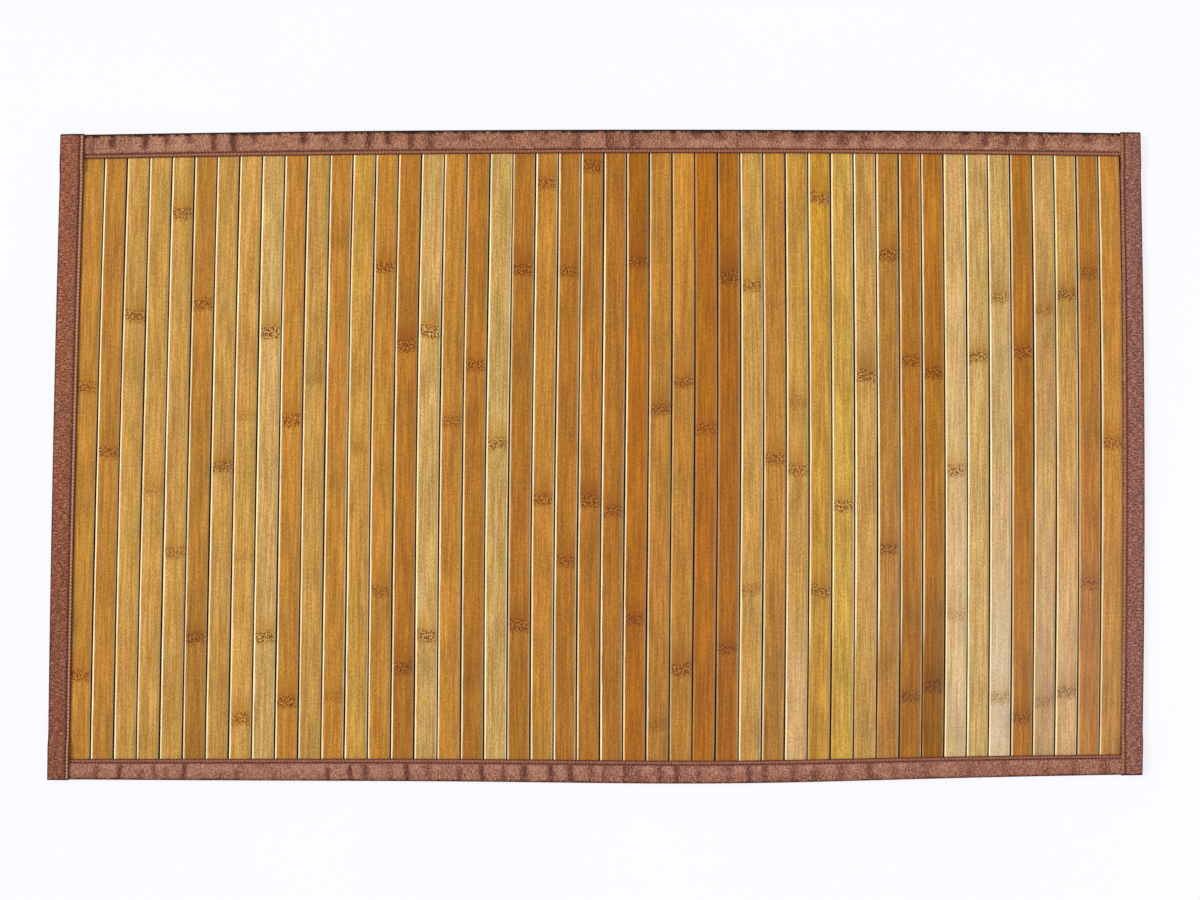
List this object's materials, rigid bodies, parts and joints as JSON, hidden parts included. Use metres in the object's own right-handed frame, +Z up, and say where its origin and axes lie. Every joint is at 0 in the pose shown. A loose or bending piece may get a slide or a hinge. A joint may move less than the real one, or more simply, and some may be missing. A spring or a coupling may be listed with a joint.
{
  "type": "bamboo mat",
  "caption": "Flat rectangular floor mat of bamboo slats laid side by side across its short way on a backing cloth, with folded cloth tapes stitched along the edges.",
  "frame": {"origin": "on the floor, under the middle of the mat's bounding box", "axes": "+X along the mat's long way, +Y along the slats, +Z up from the floor through the mat's face"},
  "size_m": [0.8566, 0.5124, 0.0079],
  "materials": {
    "bamboo_pale": "gloss lacquer",
    "bamboo_straw": "gloss lacquer",
    "bamboo_honey": "gloss lacquer",
    "bamboo_amber": "gloss lacquer",
    "bamboo_toffee": "gloss lacquer",
    "edge_tape": "twill cloth",
    "thread": "matte",
    "backing_cloth": "matte"
  },
  "bodies": {
    "root": {"slat_01": "bamboo_honey", "slat_02": "bamboo_honey", "slat_03": "bamboo_straw", "slat_04": "bamboo_straw", "slat_05": "bamboo_straw", "slat_06": "bamboo_honey", "slat_07": "bamboo_straw", "slat_08": "bamboo_straw", "slat_09": "bamboo_pale", "slat_10": "bamboo_honey", "slat_11": "bamboo_straw", "slat_12": "bamboo_honey", "slat_13": "bamboo_straw", "slat_14": "bamboo_honey", "slat_15": "bamboo_amber", "slat_16": "bamboo_pale", "slat_17": "bamboo_honey", "slat_18": "bamboo_amber", "slat_19": "bamboo_pale", "slat_20": "bamboo_amber", "slat_21": "bamboo_honey", "slat_22": "bamboo_amber", "slat_23": "bamboo_amber", "slat_24": "bamboo_amber", "slat_25": "bamboo_toffee", "slat_26": "bamboo_honey", "slat_27": "bamboo_honey", "slat_28": "bamboo_toffee", "slat_29": "bamboo_toffee", "slat_30": "bamboo_straw", "slat_31": "bamboo_honey", "slat_32": "bamboo_straw", "slat_33": "bamboo_straw", "slat_34": "bamboo_pale", "slat_35": "bamboo_straw", "slat_36": "bamboo_honey", "slat_37": "bamboo_amber", "slat_38": "bamboo_amber", "slat_39": "bamboo_pale", "slat_40": "bamboo_pale", "slat_41": "bamboo_pale", "slat_42": "bamboo_amber", "slat_43": "bamboo_straw", "slat_44": "bamboo_straw", "slat_45": "bamboo_amber", "slat_46": "bamboo_honey", "edge_slat_left": "bamboo_straw", "edge_slat_right": "bamboo_straw", "backing": "backing_cloth", "front_tape": "edge_tape", "right_tape": "edge_tape", "back_tape": "edge_tape", "left_tape": "edge_tape"}
  },
  "joints": []
}
